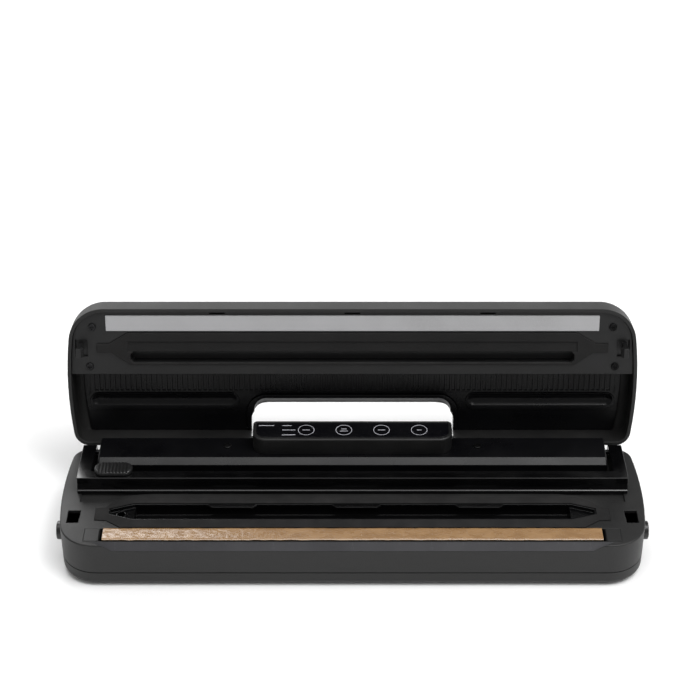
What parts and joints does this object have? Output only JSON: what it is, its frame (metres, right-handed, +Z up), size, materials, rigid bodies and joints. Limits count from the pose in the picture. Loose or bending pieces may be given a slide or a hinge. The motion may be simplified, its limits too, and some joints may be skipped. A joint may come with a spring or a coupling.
{
  "type": "vacuum sealer",
  "caption": "Bar-shaped kitchen vacuum sealer, lid open: seal bar, foam gasket, chamber, sliding cutter, touch keys and side release buttons.",
  "frame": {"origin": "on the table, under the middle of the case", "axes": "+Z up, +X to the user's right along the seal bar, +Y away from the user, towards the lid hinge"},
  "size_m": [0.3812, 0.1442, 0.1309],
  "materials": {
    "case_plastic": "fine spark-textured dark grey moulding",
    "foot_rubber": "matt black rubber",
    "screw_steel": "black zinc",
    "pin_steel": "ground steel",
    "ruler_band": "printed matt band with a centimetre scale",
    "heat_block": "heat-resistant moulding",
    "heater_steel": "nickel-chrome ribbon",
    "sealing_tape": "woven glass tape with a non-stick coating, brown and slightly shiny",
    "gasket_foam": "closed-cell foam",
    "black_gloss": "polished black moulding",
    "black_satin": "satin black moulding",
    "touch_glass": "polished black panel with white marks",
    "circuit_board": "green glass-fibre board",
    "knob_plastic": "satin black",
    "blade_steel": "ground steel",
    "motor_steel": "plated steel can",
    "inner_plastic": "plain black nylon",
    "hose_rubber": "clear-white silicone",
    "transformer_core": "lacquered laminations",
    "capacitor_can": "sleeved can",
    "wire_cover": "heat-proof wire cover",
    "press_silicone": "light grey silicone",
    "spring_steel": "spring wire"
  },
  "bodies": {
    "base": {"base_gasket": "gasket_foam", "base_shell": "case_plastic", "board_posts": "inner_plastic", "bottom_pan": "case_plastic", "bottom_screws": "screw_steel", "capacitors": "capacitor_can", "control_board": "circuit_board", "control_pod": "black_satin", "cutter_pivots": "screw_steel", "heater_leads": "wire_cover", "heating_element": "heater_steel", "hinge_pins": "pin_steel", "housing_screws": "screw_steel", "inlet_pins": "pin_steel", "power_board": "circuit_board", "power_inlet": "inner_plastic", "ptfe_tape": "sealing_tape", "pump_head": "inner_plastic", "pump_motor": "motor_steel", "rear_housing": "black_satin", "release_spring_left": "spring_steel", "release_spring_right": "spring_steel", "release_valve": "inner_plastic", "rubber_feet": "foot_rubber", "ruler_strip": "ruler_band", "seal_bar_carrier": "heat_block", "seal_bar_clamps": "case_plastic", "suction_port": "black_gloss", "touch_panel": "touch_glass", "transformer": "transformer_core", "vacuum_hose": "hose_rubber", "vacuum_trough": "black_gloss"},
    "lid": {"lid_shell": "case_plastic", "lid_plate": "black_satin", "lid_gasket": "gasket_foam", "press_strip": "press_silicone", "lid_hooks": "black_satin", "lid_plate_screws": "screw_steel", "lid_liner": "black_satin", "window_frame": "black_satin"},
    "cutter_frame": {"cutter_frame": "black_gloss"},
    "cutter_slider": {"cutter_knob": "knob_plastic", "cutter_carriage": "knob_plastic", "cutter_blade": "blade_steel"},
    "left_release": {"release_button_left": "knob_plastic", "latch_catch_left": "inner_plastic"},
    "right_release": {"release_button_right": "knob_plastic", "latch_catch_right": "inner_plastic"},
    "pump_rotor": {"motor_shaft": "pin_steel", "eccentric": "inner_plastic"}
  },
  "joints": [
    {"name": "lid_hinge", "type": "hinge", "parent": "base", "child": "lid", "pos_m": [0, 0.0506, 0.034], "axis": [1, 0, 0], "range_deg": [0, 103.26]},
    {"name": "cutter_lift", "type": "hinge", "parent": "base", "child": "cutter_frame", "pos_m": [0, 0.0395, 0.0392], "axis": [-1, 0, 0], "range_deg": [0, 6]},
    {"name": "cutter_slide", "type": "slide", "parent": "cutter_frame", "child": "cutter_slider", "axis": [1, 0, 0], "range_m": [0, 0.312]},
    {"name": "left_release_push", "type": "slide", "parent": "base", "child": "left_release", "axis": [1, 0, 0], "range_m": [0, 0.002], "stiffness_N_per_m": 300, "springref_m": -0.002, "deforming": ["release_spring_left"]},
    {"name": "right_release_push", "type": "slide", "parent": "base", "child": "right_release", "axis": [-1, 0, 0], "range_m": [0, 0.002], "stiffness_N_per_m": 300, "springref_m": -0.002, "deforming": ["release_spring_right"]},
    {"name": "pump_spin", "type": "hinge", "parent": "base", "child": "pump_rotor", "pos_m": [-0.047, 0.0341, 0.019], "axis": [1, 0, 0], "continuous": true}
  ]
}
